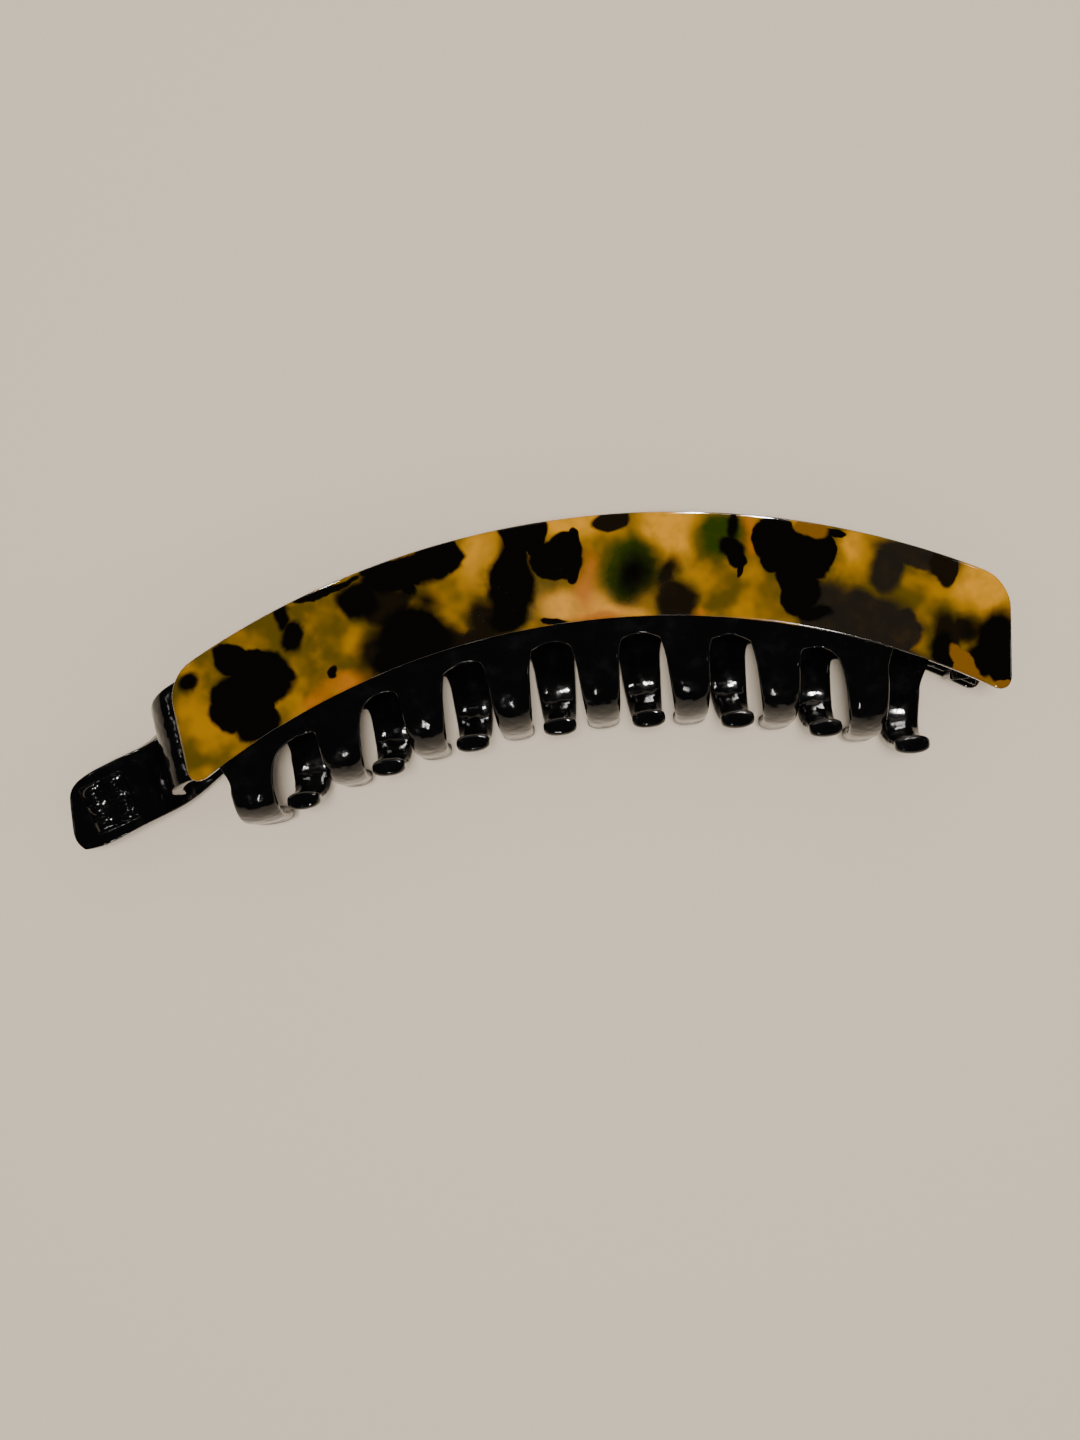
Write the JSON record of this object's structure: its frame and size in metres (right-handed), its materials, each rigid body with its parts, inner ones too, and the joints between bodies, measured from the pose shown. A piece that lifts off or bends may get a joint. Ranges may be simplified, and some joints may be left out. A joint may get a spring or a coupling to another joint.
{
  "type": "banana hair clip",
  "caption": "Interlocking banana hair clip: curved toothed combs hinged at one end, a finger-tab clasp at the other, each comb faced with an arched tortoiseshell plate.",
  "frame": {"origin": "on the back plate's flat outer face, at the middle of the plate's width on the arch's line of symmetry", "axes": "+X along the chord of the arch towards the hinge end, +Y towards the crown of the arch, +Z from the back plate to the front plate"},
  "size_m": [0.1514, 0.0432, 0.03],
  "materials": {
    "tortoiseshell": "polished cellulose acetate, amber with black blotches",
    "black_plastic": "glossy moulded plastic",
    "pin_steel": "plain wire"
  },
  "bodies": {
    "back_half": {"back_comb": "black_plastic", "back_plate": "tortoiseshell", "hinge_pin": "pin_steel"},
    "front_half": {"front_comb": "black_plastic", "front_plate": "tortoiseshell"}
  },
  "joints": [
    {"name": "comb_hinge", "type": "hinge", "parent": "back_half", "child": "front_half", "pos_m": [0.0602, -0.0157, 0.015], "axis": [0, 1, 0], "range_deg": [0, 95]}
  ]
}
